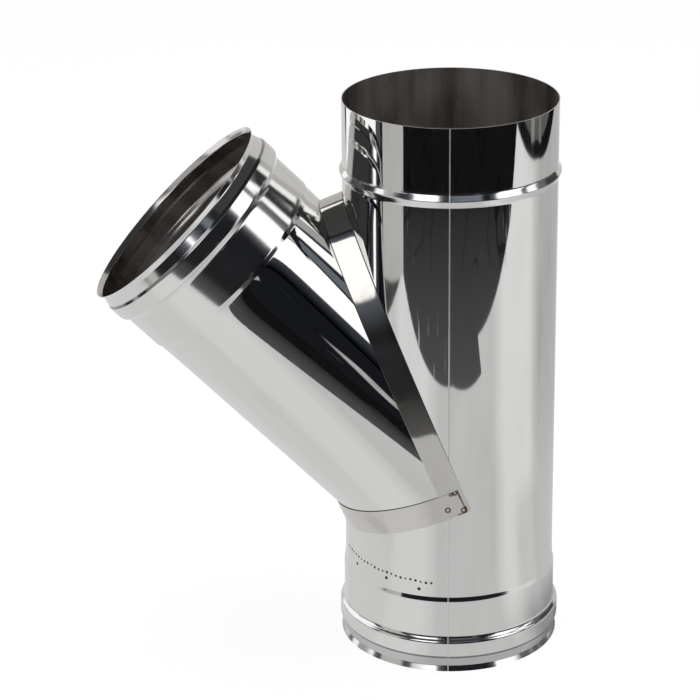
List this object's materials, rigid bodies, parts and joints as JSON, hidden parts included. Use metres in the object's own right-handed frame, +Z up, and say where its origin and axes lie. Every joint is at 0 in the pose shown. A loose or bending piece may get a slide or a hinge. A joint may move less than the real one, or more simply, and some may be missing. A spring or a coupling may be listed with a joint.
{
  "type": "forty-five degree pipe branch",
  "caption": "Polished sheet-metal flue branch: a straight tube with a spigot at the top and a socket at the foot, joined at forty-five degrees by a socketed tube through a collar.",
  "frame": {"origin": "centre of the bottom rim, on the plane that the part stands on", "axes": "+Z up the main pipe's axis towards the spigot, the branch leans towards -X in the XZ plane, and that plane is the part's plane of symmetry"},
  "size_m": [0.3271, 0.1586, 0.4015],
  "materials": {
    "tube_sheet": "mirror-polished stainless steel, dull and brownish inside",
    "collar_sheet": "mirror-polished stainless steel with brown heat tint round the spot welds"
  },
  "bodies": {
    "root": {"main_pipe": "tube_sheet", "branch_pipe": "tube_sheet", "upper_collar_band": "collar_sheet", "lower_collar_band": "collar_sheet"}
  },
  "joints": []
}
